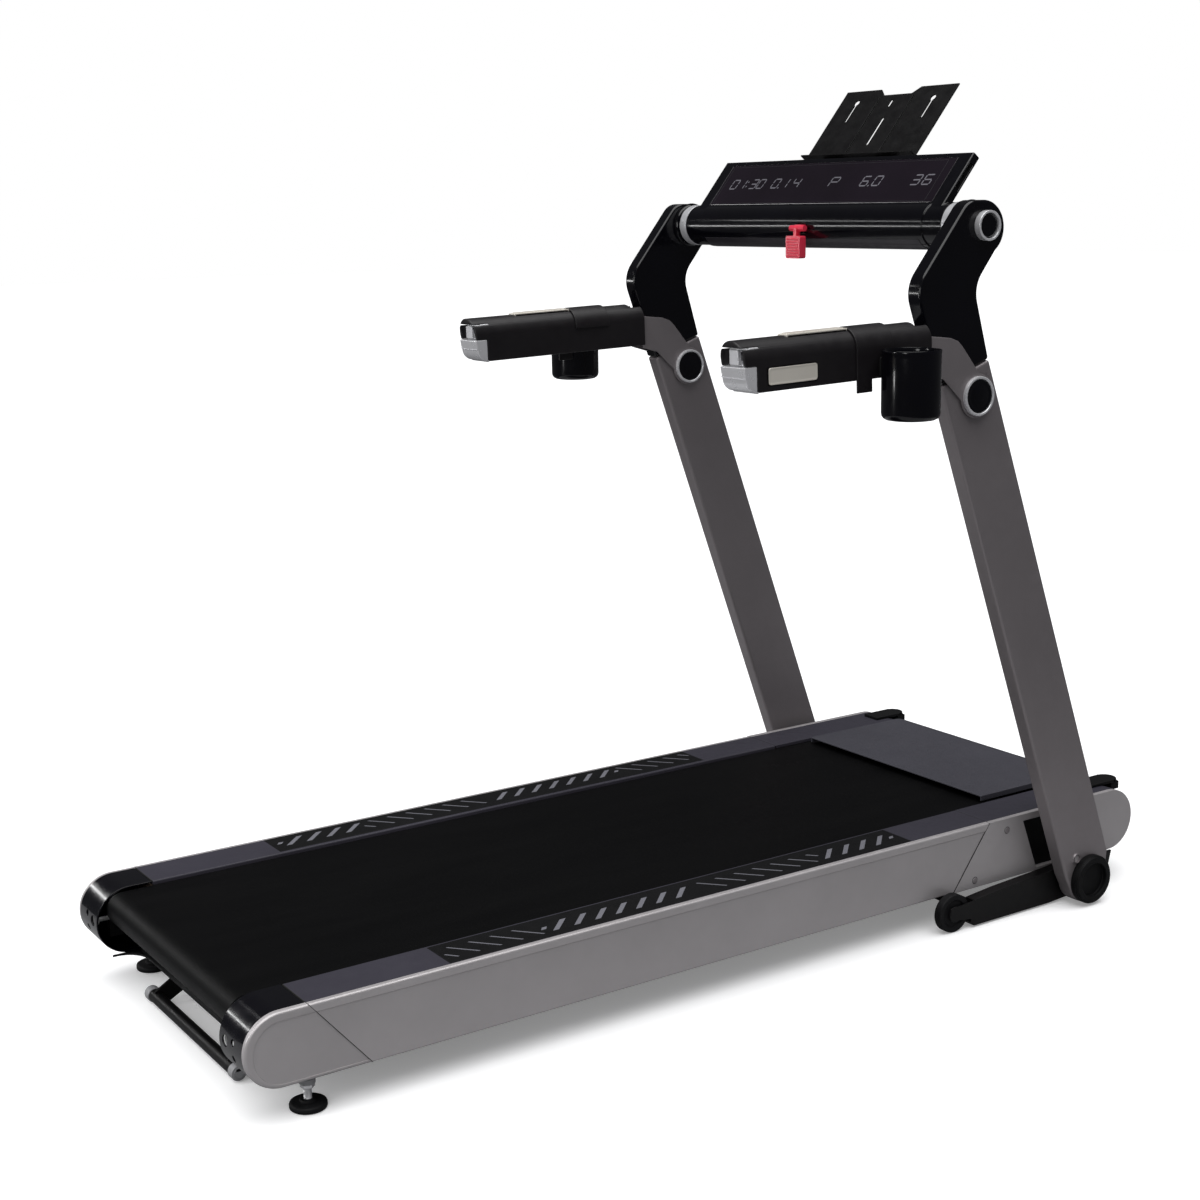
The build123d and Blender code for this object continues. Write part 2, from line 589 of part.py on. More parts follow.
def console():
    with BuildPart() as shell:
        rod_x(-345.6, 345.6, CON_Y, CON_Z, SLEEVE_R)
        rod_x(-302, 302, CON_Y, CON_Z, CON_R)
        slab_box(-330, 330, 6, 121, -15, 0)
        long_edges = [e for e in shell.edges() if e.length > 100 and e.center().Z > 1250]
        fillet([e for e in long_edges if 329 < abs(e.center().X) < 331], 3)
        slab_box(-300, 300, 20, 112, -1.2, 1, Mode.SUBTRACT)
        slab_box(322, 331, 50, 104, -11.5, -3.5, Mode.SUBTRACT)
        block(-11, 11, 358, 382, 1192, 1208, Mode.SUBTRACT)
        for s in SIDES:
            rod_x(s * 345, s * 375.5, CON_Y, CON_Z, 12)
    save(shell, "console_shell")
    with BuildPart() as lens:
        slab_box(-300, 300, 20, 112, -1.2, 0)
    save(lens, "display_lens")
    with BuildPart() as ports:
        slab_box(322, 328, 50, 104, -11.5, -3.5)
        slab_box(325, 329, 56, 66, -9.5, -5.5, Mode.SUBTRACT)
        slab_box(325, 329, 74, 80, -9.5, -5.5, Mode.SUBTRACT)
        slab_box(325, 329, 88, 98, -9.5, -5.5, Mode.SUBTRACT)
    save(ports, "port_strip")
    with BuildPart() as arms:
        for x in (-70, 70):
            side_plate([(452.5, 1290.8), (493, 1298.5), (500, 1303.5), (500, 1313.5), (493, 1316.5),
                        (486, 1313.5), (465.1, 1306.2)], x - 6, x + 6)
        rod_x(-90, 90, REST_HINGE[0], REST_HINGE[1], 3)
    save(arms, "rest_hinge")


def tablet_rest():
    angle = math.atan2(111, 92)
    u, n = math.cos(angle), math.sin(angle)
    face = Plane(origin=(0, 498, 1316.5), x_dir=(1, 0, 0), z_dir=(0, -n, u))
    with BuildPart() as rest:
        with BuildSketch(face):
            Polygon((-146, 0), (146, 0), (146, 160), (52, 160), (36, 146), (-36, 146), (-52, 160),
                    (-146, 160), align=None)
            for x in (-100, 100):
                with Locations((x, 110)):
                    SlotCenterToCenter(40, 5, rotation=90, mode=Mode.SUBTRACT)
                with Locations((x, 132)):
                    Circle(6, mode=Mode.SUBTRACT)
            with Locations((0, 62)):
                SlotCenterToCenter(56, 6, rotation=90, mode=Mode.SUBTRACT)
            with Locations((-6, 126)):
                SlotCenterToCenter(10, 6, rotation=90, mode=Mode.SUBTRACT)
        extrude(amount=2.5)
        with Locations(face):
            with Locations((0, 1.25, 8)):
                Box(292, 2.5, 16)
            for x in (-44, 44):
                with Locations((x, 74, 3)):
                    Box(5, 134, 3)
            for x in (-88, -52, 52, 88):
                with Locations((x, -2, 1.25)):
                    Box(14, 8, 2.5)
        for x in (-88, -52, 52, 88):
            rod_x(x - 7, x + 7, REST_HINGE[0], REST_HINGE[1], 6)
        rod_x(-95, 95, REST_HINGE[0], REST_HINGE[1], 3.05, Mode.SUBTRACT)
    save(rest, "tablet_rest")


def safety_key():
    with BuildPart() as key:
        block(-9, 9, 360, 381, 1194, 1206)
        rod_x(-19, 19, 360, 1200, 5)
        block(-4, 4, 353, 362, 1184, 1200)
        block(-20, 18, 349, 363, 1148, 1187)
        edges = [e for e in key.edges().filter_by(Axis.Y) if e.center().Z < 1191 and abs(e.center().X) > 15]
        fillet(edges, 4)
    save(key, "safety_key")


side_panels()
rails()
frame()
belt_and_board()
motor_bay()
floor_parts()
incline()
uprights()
handles()
console()
tablet_rest()
safety_key()
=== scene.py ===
import json
import math

import bmesh
import bpy
from mathutils import Matrix, Vector

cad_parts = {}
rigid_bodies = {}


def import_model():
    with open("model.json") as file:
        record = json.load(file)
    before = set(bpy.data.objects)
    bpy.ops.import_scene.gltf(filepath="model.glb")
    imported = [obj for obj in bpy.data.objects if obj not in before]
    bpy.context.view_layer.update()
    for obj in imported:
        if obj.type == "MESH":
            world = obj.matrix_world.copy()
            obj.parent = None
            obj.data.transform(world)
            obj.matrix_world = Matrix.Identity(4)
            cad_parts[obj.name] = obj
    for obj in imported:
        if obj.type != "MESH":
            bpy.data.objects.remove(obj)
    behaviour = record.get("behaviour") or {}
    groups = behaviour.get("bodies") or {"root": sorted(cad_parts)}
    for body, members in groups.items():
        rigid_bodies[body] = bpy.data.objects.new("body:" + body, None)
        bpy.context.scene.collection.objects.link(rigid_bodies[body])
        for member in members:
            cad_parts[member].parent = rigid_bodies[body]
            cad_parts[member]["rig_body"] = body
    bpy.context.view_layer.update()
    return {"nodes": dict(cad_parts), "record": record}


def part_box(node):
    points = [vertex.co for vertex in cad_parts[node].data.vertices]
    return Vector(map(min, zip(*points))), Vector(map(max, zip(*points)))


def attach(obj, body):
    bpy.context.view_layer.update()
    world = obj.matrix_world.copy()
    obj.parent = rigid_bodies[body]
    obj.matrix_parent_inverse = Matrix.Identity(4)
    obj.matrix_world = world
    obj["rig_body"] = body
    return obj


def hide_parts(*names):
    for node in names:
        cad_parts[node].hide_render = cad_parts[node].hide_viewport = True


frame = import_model()
NODES = frame["nodes"]
MM = 0.001
SIDES = (-1, 1)

# places on the frame, in millimetres
DECK_TOP, DECK_BOT = 171.0, 58.0
CAP_R, CAP_Z = 56.5, 114.5
PANEL_BACK = 335.0
UPRIGHT_X = 392.5
HANDLE_REAR, HANDLE_MID_Z, HANDLE_SLOPE = -95.0, 1009.5, 1.7
PIVOT_Y, PIVOT_Z = 395, 935
TUBE_Y, TUBE_Z = 407, 1204
CUP_X, CUP_Y = 472.2, 195.0
FOOT_X, FOOT_Y = 307, -782
SLAB = (Vector((0, 380, 1226)), Vector((0, 0.6337, 0.7736)), Vector((0, -0.7736, 0.6337)))


# ---------------------------------------------------------------- materials

def links_of(material):
    material.use_nodes = True
    tree = material.node_tree
    tree.nodes.clear()
    out = tree.nodes.new("ShaderNodeOutputMaterial")
    shader = tree.nodes.new("ShaderNodeBsdfPrincipled")
    tree.links.new(shader.outputs[0], out.inputs[0])
    return tree, shader


def noise(tree, coords, scale, detail=4.0, stretch=(1, 1, 1)):
    place = tree.nodes.new("ShaderNodeMapping")
    place.inputs["Scale"].default_value = stretch
    tree.links.new(coords, place.inputs["Vector"])
    texture = tree.nodes.new("ShaderNodeTexNoise")
    texture.inputs["Scale"].default_value = scale
    texture.inputs["Detail"].default_value = detail
    tree.links.new(place.outputs[0], texture.inputs["Vector"])
    return texture.outputs["Fac"]


def ranged(tree, value, low, high, start=0.3, end=0.7):
    node = tree.nodes.new("ShaderNodeMapRange")
    node.inputs["From Min"].default_value = start
    node.inputs["From Max"].default_value = end
    node.inputs["To Min"].default_value = low
    node.inputs["To Max"].default_value = high
    tree.links.new(value, node.inputs["Value"])
    return node.outputs[0]


def mixed(tree, factor, a, b):
    node = tree.nodes.new("ShaderNodeMix")
    node.data_type = "RGBA"
    for socket, value in ((node.inputs["A"], a), (node.inputs["B"], b)):
        if isinstance(value, tuple):
            socket.default_value = (*value[:3], 1)
        else:
            tree.links.new(value, socket)
    tree.links.new(factor, node.inputs["Factor"])
    return node.outputs["Result"]


def shade(color, share):
    return tuple(c * share for c in color)


def surface(name, color, rough, metallic=0.0, coat=0.0, coat_rough=0.08, spread=0.12, specular=0.5,
            cloud=6.0, grain=900.0, depth=0.04, rough_spread=0.06, stretch=(1, 1, 1), edge=0.0):
    """Colour clouds, a roughness that varies and a fine moulded or sprayed grain."""
    material = bpy.data.materials.new(name)
    tree, shader = links_of(material)
    coords = tree.nodes.new("ShaderNodeTexCoord").outputs["Object"]
    clouds = noise(tree, coords, cloud, 5.0)
    tint = mixed(tree, ranged(tree, clouds, 0, 1), shade(color, 1 - spread), shade(color, 1 + spread))
    # Sharp edges found by pointiness are lightened: partly rubbed wear, partly a painted highlight along the
    # edges.
    if edge:
        edge_wear_and_highlight = tree.nodes.new("ShaderNodeNewGeometry").outputs["Pointiness"]
        tint = mixed(tree, ranged(tree, edge_wear_and_highlight, 0, edge, 0.52, 0.6), tint, shade(color, 1.8))
    tree.links.new(tint, shader.inputs["Base Color"])
    fine = noise(tree, coords, grain, 2.0, stretch)
    middling = noise(tree, coords, cloud * 9, 3.0)
    wide = ranged(tree, middling, rough - rough_spread, rough + rough_spread)
    tree.links.new(wide, shader.inputs["Roughness"])
    bump = tree.nodes.new("ShaderNodeBump")
    bump.inputs["Strength"].default_value = depth
    bump.inputs["Distance"].default_value = 0.0005
    tree.links.new(fine, bump.inputs["Height"])
    tree.links.new(bump.outputs[0], shader.inputs["Normal"])
    shader.inputs["Metallic"].default_value = metallic
    shader.inputs["Specular IOR Level"].default_value = specular
    shader.inputs["Coat Weight"].default_value = coat
    shader.inputs["Coat Roughness"].default_value = coat_rough
    return material


def belt_surface():
    """Woven-faced PVC: a fine diamond emboss with a faint dusty wear lane down the middle."""
    material = bpy.data.materials.new("belt_weave")
    tree, shader = links_of(material)
    coords = tree.nodes.new("ShaderNodeTexCoord").outputs["Object"]
    heights = []
    for turn in (45, -45):
        place = tree.nodes.new("ShaderNodeMapping")
        place.inputs["Rotation"].default_value = (0, 0, math.radians(turn))
        tree.links.new(coords, place.inputs["Vector"])
        wave = tree.nodes.new("ShaderNodeTexWave")
        wave.inputs["Scale"].default_value = 130
        wave.inputs["Distortion"].default_value = 0.3
        tree.links.new(place.outputs[0], wave.inputs["Vector"])
        heights.append(wave.outputs["Fac"])
    cross = tree.nodes.new("ShaderNodeMath")
    cross.operation = "MULTIPLY"
    tree.links.new(heights[0], cross.inputs[0])
    tree.links.new(heights[1], cross.inputs[1])
    dust = noise(tree, coords, 22, 6.0, (1, 0.2, 1))
    dusty = ranged(tree, dust, 0, 1, 0.35, 0.75)
    color = mixed(tree, dusty, (0.0004, 0.0004, 0.0006), (0.001, 0.001, 0.0012))
    tree.links.new(color, shader.inputs["Base Color"])
    tree.links.new(ranged(tree, dust, 0.42, 0.48), shader.inputs["Roughness"])
    bump = tree.nodes.new("ShaderNodeBump")
    bump.inputs["Strength"].default_value = 0.35
    bump.inputs["Distance"].default_value = 0.0004
    tree.links.new(cross.outputs[0], bump.inputs["Height"])
    tree.links.new(bump.outputs[0], shader.inputs["Normal"])
    shader.inputs["Specular IOR Level"].default_value = 0.12
    return material


def wood_surface():
    """The edge of a pressed running board, coloured almost black brown as painted shade for the dark gap by
    the rear cap where it shows.
    """
    material = bpy.data.materials.new("board_wood")
    tree, shader = links_of(material)
    coords = tree.nodes.new("ShaderNodeTexCoord").outputs["Object"]
    grain = noise(tree, coords, 30, 8.0, (6, 0.5, 6))
    color = mixed(tree, ranged(tree, grain, 0, 1), (0.03, 0.02, 0.012), (0.06, 0.04, 0.025))
    tree.links.new(color, shader.inputs["Base Color"])
    tree.links.new(ranged(tree, grain, 0.4, 0.6), shader.inputs["Roughness"])
    return material


MATERIALS = {
    "silver_paint": surface("silver_paint", (0.42, 0.4, 0.405), 0.42, 0.5, coat=0.12, coat_rough=0.3,
                            spread=0.05, grain=2600, depth=0.06, edge=0.3),
    # A darker copy of silver_paint for the uprights, fork brackets and the plugs beside them: painted shade
    # on the same paint.
    "silver_posts": surface("silver_posts", (0.25, 0.228, 0.235), 0.44, 0.5, coat=0.1, coat_rough=0.3,
                            spread=0.05, grain=2600, depth=0.06, edge=0.3),
    "charcoal_plastic": surface("charcoal_plastic", (0.05, 0.049, 0.06), 0.45, spread=0.06, grain=1800,
                                depth=0.05, specular=0.3),
    "rail_plastic": surface("rail_plastic", (0.036, 0.034, 0.045), 0.42, spread=0.06, grain=1800, depth=0.05,
                            specular=0.25),
    "handle_plastic": surface("handle_plastic", (0.009, 0.0075, 0.009), 0.42, spread=0.1, grain=1800,
                              depth=0.04, specular=0.5),
    "gloss_black": surface("gloss_black", (0.0016, 0.0015, 0.003), 0.17, coat=0.25, coat_rough=0.06,
                           spread=0.3, grain=120, depth=0.008, rough_spread=0.04, specular=0.35),
    "matte_black": surface("matte_black", (0.003, 0.003, 0.0035), 0.55, spread=0.2, grain=1500, depth=0.12,
                           specular=0.2),
    "black_rubber": surface("black_rubber", (0.005, 0.005, 0.006), 0.6, spread=0.25, grain=1100, depth=0.2,
                            specular=0.25),
    "black_steel": surface("black_steel", (0.0025, 0.0022, 0.0025), 0.4, spread=0.15, grain=1700, depth=0.14,
                           edge=0.3, specular=0.3),
    "chrome": surface("chrome", (0.84, 0.84, 0.86), 0.26, 0.5, spread=0.03, grain=300, depth=0.004,
                      rough_spread=0.03, specular=0.6),
    "brushed": surface("brushed", (0.55, 0.55, 0.55), 0.32, 0.8, spread=0.08, grain=600, depth=0.06,
                       stretch=(0.05, 1, 1)),
    "alu": surface("alu", (0.66, 0.66, 0.68), 0.3, 0.45, spread=0.04, grain=500, depth=0.03,
                   stretch=(0.1, 1, 1)),
    "grey_plastic": surface("grey_plastic", (0.3, 0.3, 0.31), 0.4, spread=0.06, grain=1400, depth=0.06),
    "red_plastic": surface("red_plastic", (0.72, 0.03, 0.07), 0.4, coat=0.1, spread=0.06, grain=700,
                           depth=0.01),
    "pale_metal": surface("pale_metal", (0.78, 0.74, 0.66), 0.33, 0.35, spread=0.05, grain=900, depth=0.06,
                          stretch=(1, 0.08, 1)),
    "display": surface("display_glass", (0.009, 0.006, 0.01), 0.14, coat=0.3, coat_rough=0.05, spread=0.2,
                       grain=80, depth=0.002, rough_spread=0.03, specular=0.3),
    "wood_board": wood_surface(),
    "belt_rubber": belt_surface(),
    "grip_mark": surface("grip_mark", (0.13, 0.13, 0.15), 0.6, spread=0.1, grain=1500, depth=0.1),
    "digit": surface("digit_grey", (0.13, 0.125, 0.145), 0.5, spread=0.1, grain=1500, depth=0.02),
    "body_strip": surface("body_strip", (0.02, 0.018, 0.022), 0.35, coat=0.15, spread=0.1, grain=900,
                          depth=0.02),
    # Dark joints between the skirts, and the painted shadow rings round the plugs.
    "seam_dark": surface("seam_dark", (0.01, 0.01, 0.01), 0.7, spread=0.2, grain=900, depth=0.05),
}
SLOT_OF = {part["node"]: part["material_slot"] for part in frame["record"]["subparts"]}


def paint(piece, name):
    piece.data.materials.clear()
    piece.data.materials.append(MATERIALS[name])
    return piece


# ---------------------------------------------------------------- mesh helpers

def new_piece(name, verts, faces, material, body, slot=None):
    mesh = bpy.data.meshes.new(name)
    mesh.from_pydata([tuple(v) for v in verts], [], faces)
    mesh.validate()
    bm = bmesh.new()
    bm.from_mesh(mesh)
    bmesh.ops.recalc_face_normals(bm, faces=bm.faces)
    bm.to_mesh(mesh)
    bm.free()
    piece = bpy.data.objects.new(name, mesh)
    bpy.context.scene.collection.objects.link(piece)
    paint(piece, material)
    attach(piece, body)
    return piece


def soften(piece, width, segments=3, angle=32, clamp=False):
    """Rounded edges with flat faces left flat."""
    for polygon in piece.data.polygons:
        polygon.use_smooth = True
    bevel = piece.modifiers.new("rounded_edges", "BEVEL")
    bevel.width = width * MM
    bevel.segments = segments
    bevel.limit_method = "ANGLE"
    bevel.angle_limit = math.radians(angle)
    bevel.use_clamp_overlap = clamp
    bevel.miter_outer = "MITER_ARC"
    even = piece.modifiers.new("even_normals", "WEIGHTED_NORMAL")
    even.weight = 60
    return piece


def skin(node, width, segments=3, angle=32, clamp=False, material=None):
    """A cleaned copy of a CAD node whose edges can be rounded, shown in the node's place."""
    bm = bmesh.new()
    bm.from_mesh(NODES[node].data)
    bmesh.ops.remove_doubles(bm, verts=bm.verts, dist=2e-5)
    bmesh.ops.dissolve_limit(bm, angle_limit=math.radians(0.6), verts=bm.verts, edges=bm.edges)
    mesh = bpy.data.meshes.new(node + "_skin")
    bm.to_mesh(mesh)
    bm.free()
    piece = bpy.data.objects.new(node + "_skin", mesh)
    bpy.context.scene.collection.objects.link(piece)
    paint(piece, material or SLOT_OF[node])
    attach(piece, NODES[node]["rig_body"])
    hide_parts(node)
    return soften(piece, width, segments, angle, clamp)


def bridge(rings, closed=True, caps=(True, True)):
    """Vertices and faces of a skin through rings that all have the same number of points."""
    count = len(rings[0])
    verts = [p for ring in rings for p in ring]
    faces = []
    last = count if closed else count - 1
    for r in range(len(rings) - 1):
        for i in range(last):
            j = (i + 1) % count
            faces.append((r * count + i, r * count + j, (r + 1) * count + j, (r + 1) * count + i))
    if caps[0]:
        faces.append(tuple(range(count - 1, -1, -1)))
    if caps[1]:
        faces.append(tuple((len(rings) - 1) * count + i for i in range(count)))
    return verts, faces


def joined(solids):
    """Vertices and faces of several solids as one mesh."""
    verts, faces = [], []
    for v, f in solids:
        faces += [tuple(i + len(verts) for i in face) for face in f]
        verts += v
    return verts, faces


def turned(name, profile, center, axis, material, body, slot=None, count=72, caps=(True, True)):
    """A lathe piece: profile is (distance along the axis, radius) in millimetres."""
    u, v = {"x": ((0, 1, 0), (0, 0, 1)), "y": ((1, 0, 0), (0, 0, 1)), "z": ((1, 0, 0), (0, 1, 0))}[axis]
    along = {"x": Vector((1, 0, 0)), "y": Vector((0, 1, 0)), "z": Vector((0, 0, 1))}[axis]
    u, v, middle = Vector(u), Vector(v), Vector(center) * MM
    rings = []
    for distance, radius in profile:
        ring = []
        for i in range(count):
            a = 2 * math.pi * i / count
            ring.append(middle + (along * distance + (u * math.cos(a) + v * math.sin(a)) * radius) * MM)
        rings.append(ring)
    piece = new_piece(name, *bridge(rings, True, caps), material, body, slot)
    smooth_by_angle(piece, 40)
    return piece


def smooth_by_angle(piece, degrees):
    for polygon in piece.data.polygons:
        polygon.use_smooth = True
    piece.data.set_sharp_from_angle(angle=math.radians(degrees))
    return piece


# ---------------------------------------------------------------- CAD nodes that keep their shape

SOFT_EDGES = {
    "upright_posts": (5.0, 4), "doglegs": (5.0, 4), "fork_brackets": (1.2, 3), "motor_hood": (1.2, 3),
    "front_rail_covers": (1.0, 2), "rear_corner_caps": (0.8, 2), "handle_shells": (2.2, 3),
    "cup_saddles": (1.0, 2), "console_shell": (1.2, 3), "tablet_rest": (0.4, 2),
    "rest_hinge": (0.5, 2), "front_lugs": (1.6, 3), "hub_caps": (1.8, 3), "console_rings": (1.0, 3),
    "console_sleeves": (0.8, 2), "incline_frame": (1.0, 2),
    "transport_wheel_l": (2.0, 3), "transport_wheel_r": (2.0, 3), "rear_bar": (0.5, 2),
    "rear_bar_ends": (1.6, 3),
    "under_covers": (0.6, 2), "pulse_sensors": (0.6, 2), "handle_ends": (1.6, 3),
    "speed_paddle_l": (0.8, 2), "speed_paddle_r": (0.8, 2), "hub_plates": (0.6, 2), "screw_plugs": (0.3, 2),
    "power_inlet": (0.4, 2), "power_switch": (0.4, 2), "port_strip": (0.3, 2), "front_side_covers": (0.8, 2),
}


# ---------------------------------------------------------------- silver skirts of the deck

def seam_y(z, top, bottom):
    """Where a slanted joint of the skirts runs at a height."""
    share = (DECK_TOP - z) / (DECK_TOP - DECK_BOT)
    return top + (bottom - top) * share


def side_panels():
    """Pressed side panels: a rolled top edge, a lip line below it and a slanted joint at both ends."""
    profile = [(DECK_BOT, PANEL_BACK), (DECK_BOT, 341.4), (59.0, 343.0), (60.8, 343.9), (156.2, 343.9),
               (157.0, 344.1), (157.6, 344.8), (158.3, 345.0), (166.2, 345.0), (168.2, 344.6), (169.8, 343.6),
               (170.7, 342.1), (DECK_TOP, 340.2), (DECK_TOP, PANEL_BACK)]
    for s in SIDES:
        rings = []
        for top, bottom in ((-790.0, -695.0), (517.0, 432.0)):
            rings.append([Vector((s * x, seam_y(z, top, bottom), z)) * MM for z, x in profile])
        piece = new_piece(f"side_panel_{'l' if s < 0 else 'r'}", *bridge(rings), "silver_paint", "deck")
        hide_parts("side_panels")
        soften(smooth_by_angle(piece, 20), 0.35, 2, 40)


def rear_side_caps():
    """The round silver end caps, with the same lip carried round the end and fading out below."""
    profile = [(0.0, PANEL_BACK), (0.0, 340.2), (0.5, 342.1), (1.5, 343.6), (3.0, 344.6), (5.0, 345.0),
               (12.7, 345.0), (13.4, 344.8), (14.0, 344.1), (14.8, 343.9), (22.0, 343.9)]
    arcs = 44
    cap_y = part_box("rear_side_caps")[0].y / MM + CAP_R
    for s in SIDES:
        rings = []
        for inset, x in profile:
            ring = [(seam_y(DECK_TOP - inset, -791.0, -696.0), DECK_TOP - inset)]
            for i in range(arcs + 1):
                turn = i / arcs
                a = math.radians(90 + 180 * turn)
                pull = inset if inset <= 5 else inset * (1 - 0.55 * max(0.0, turn - 0.5) * 2)
                radius = CAP_R - pull
                ring.append((cap_y + radius * math.cos(a), CAP_Z + radius * math.sin(a)))
            bottom = DECK_BOT + (inset if inset <= 5 else inset * 0.45)
            ring.append((seam_y(bottom, -791.0, -696.0), bottom))
            rings.append([Vector((s * x, y, z)) * MM for y, z in ring])
        piece = new_piece(f"rear_side_cap_{'l' if s < 0 else 'r'}", *bridge(rings), "silver_paint", "deck")
        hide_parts("rear_side_caps")
        smooth_by_angle(piece, 35)


def seam_lines():
    """The dark joints that show between the skirts and across the foot rails."""
    for s in SIDES:
        side = "l" if s < 0 else "r"
        for where, top, bottom, face in (("rear", -790.4, -695.4, 344.05), ("front", 517.3, 432.3, 345.05)):
            rings = []
            for x, w in ((336.0, 0.8), (face, 0.6)):
                ring = []
                for z in (DECK_BOT + 0.4, DECK_TOP - 0.6):
                    ring.append(Vector((s * x, seam_y(z, top, bottom) - w, z)) * MM)
                for z in (DECK_TOP - 0.6, DECK_BOT + 0.4):
                    ring.append(Vector((s * x, seam_y(z, top, bottom) + w, z)) * MM)
                rings.append(ring)
            new_piece(f"seam_{where}_{side}", *bridge(rings), "seam_dark", "deck", "matte_black")
            y = 517.3 if where == "front" else -790.4
            rings = []
            for z, w in ((168.0, 0.7), (DECK_TOP + 0.06, 0.5)):
                corners = ((258, -w), (339.5, -w), (339.5, w), (258, w))
                rings.append([Vector((s * x, y + dy, z)) * MM for x, dy in corners])
            new_piece(f"seam_top_{where}_{side}", *bridge(rings), "seam_dark", "deck", "matte_black")


def recess_shade_plates():
    """Matte black plates lining the hollow behind the uprights as painted shade, with rounded inner corners.
    """
    outline = [(600.5, 157), (636, 65), (789, 65), (754, 157)]
    for s in SIDES:
        rings = []
        for x, shrink in ((335.2, 0.0), (336.4, 0.4), (336.6, 3.0)):
            cy, cz = 695.0, 111.0
            ring = []
            for y, z in outline:
                k = 1 - shrink / 70
                ring.append(Vector((s * x, cy + (y - cy) * k, cz + (z - cz) * k)) * MM)
            rings.append(ring)
        piece = new_piece(f"recess_shade_plate_{'l' if s < 0 else 'r'}", *bridge(rings), "matte_black", "deck")
        soften(piece, 0.3, 2)


# ---------------------------------------------------------------- grip strips

def prism(corners, bottom, top, inset=0.35):
    """A low raised mark with chamfered edges, from four (x, y) corners in millimetres."""
    cx = sum(p[0] for p in corners) / 4
    cy = sum(p[1] for p in corners) / 4
    rings = []
    for z, pull in ((bottom, 0.0), (top - inset * 0.6, 0.0), (top, inset)):
        ring = []
        for x, y in corners:
            away = Vector((x - cx, y - cy))
            away = away * (1 - pull / max(away.length, 0.001))
            ring.append(Vector((cx + away.x, cy + away.y, z)) * MM)
        rings.append(ring)
    return bridge(rings)


def slash(inner, outer, width):
    (x0, y0), (x1, y1) = inner, outer
    return [(x0, y0 - width / 2), (x0, y0 + width / 2), (x1, y1 + width / 2), (x1, y1 - width / 2)]


def grip_marks():
    """The grey slashes on the grip strips; the right strip is the left one turned round."""
    marks = [slash((297, -546), (305, -540), 9)]
    marks += [slash((284, -533 + 37.7 * i), (317, -500 + 37.7 * i), 11) for i in range(4)]
    marks += [slash((283, -368), (298, -382), 3.4)]
    marks += [slash((282, -331 + 38 * i), (319, -364 + 38 * i), 3.4) for i in range(6)]
    marks += [slash((285, -112 + 38.2 * i), (317, -80 + 38.2 * i), 11) for i in range(7)]
    marks += [slash((297, 158), (305, 164), 9)]
    marks += [slash((280, 206 + 37.5 * i), (319, 172 + 37.5 * i), 3.4) for i in range(4)]
    marks += [slash((302, 334), (319, 320), 3.4)]
    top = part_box("grip_strips")[1].z / MM
    for s in SIDES:
        placed = [[(s * x, y if s < 0 else -y - 218) for x, y in corners] for corners in marks]
        solids = [prism(corners, top - 0.5, top + 0.35) for corners in placed]
        new_piece(f"grip_marks_{'l' if s < 0 else 'r'}", *joined(solids), "grip_mark", "deck", "matte_black")


def grip_pads():
    """Textured pads: fine raised ribs across the strip."""
    low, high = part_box("grip_strips")
    for s in SIDES:
        rows = 451
        y0, y1 = low.y, high.y
        verts, faces = [], []
        inner, outer = 262.0, 334.0
        xs = [inner, inner + 0.6, outer - 0.6, outer]
        for r in range(rows):
            y = y0 + (y1 - y0) * r / (rows - 1)
            rib = 0.00022 if r % 2 else 0.0
            edge = r in (0, rows - 1)
            for c, x in enumerate(xs):
                z = high.z - (0.0006 if c in (0, 3) or edge else rib)
                verts.append(Vector((s * x * MM, y, z)))
        for r in range(rows - 1):
            for c in range(3):
                a = r * 4 + c
                faces.append((a, a + 1, a + 5, a + 4))
        piece = new_piece(f"grip_pad_{'l' if s < 0 else 'r'}", verts, faces, "matte_black", "deck")
        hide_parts("grip_strips")
        thick = piece.modifiers.new("thickness", "SOLIDIFY")
        thick.thickness = 0.0008
        thick.offset = -1


# ---------------------------------------------------------------- small plates and fittings

def rounded_plate(cx, cy, width, height, radius, insets, count=8):
    """Rings of a rounded rectangle in plane coordinates: insets are (distance up, inset)."""
    rings = []
    for up, inset in insets:
        ring = []
        for qx, qy, start in ((1, 1, 0), (-1, 1, 90), (-1, -1, 180), (1, -1, 270)):
            for i in range(count):
                a = math.radians(start + 90 * i / (count - 1))
                r = max(radius - inset, 0.05)
                ring.append((cx + qx * (width / 2 - radius) + r * math.cos(a),
                             cy + qy * (height / 2 - radius) + r * math.sin(a), up))
        rings.append(ring)
    return rings


def handle_frame(s):
    """The rear middle of a handle, then the directions up and forwards along it."""
    slope = math.radians(HANDLE_SLOPE)
    c, n = math.cos(slope), math.sin(slope)
    return Vector((s * UPRIGHT_X, HANDLE_REAR, HANDLE_MID_Z)), Vector((0, -n, c)), Vector((0, c, n))


def badges():
    """Blank satin plates with rounded corners on the outer sides of the handles."""
    for s in SIDES:
        origin, up, along = handle_frame(s)
        rings = rounded_plate(99, -16.5, 93.4, 25.4, 4.5,
                              ((28.7, 0.0), (30.6, 0.0), (31.0, 0.5), (31.0, 2.2), (30.75, 2.7), (30.75, 6)))
        rings = [[(origin + along * x + up * y + Vector((s * out, 0, 0))) * MM for x, y, out in ring]
                 for ring in rings]
        piece = new_piece(f"badge_{'l' if s < 0 else 'r'}", *bridge(rings), "pale_metal", "handles")
        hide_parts("side_badges")
        smooth_by_angle(piece, 35)


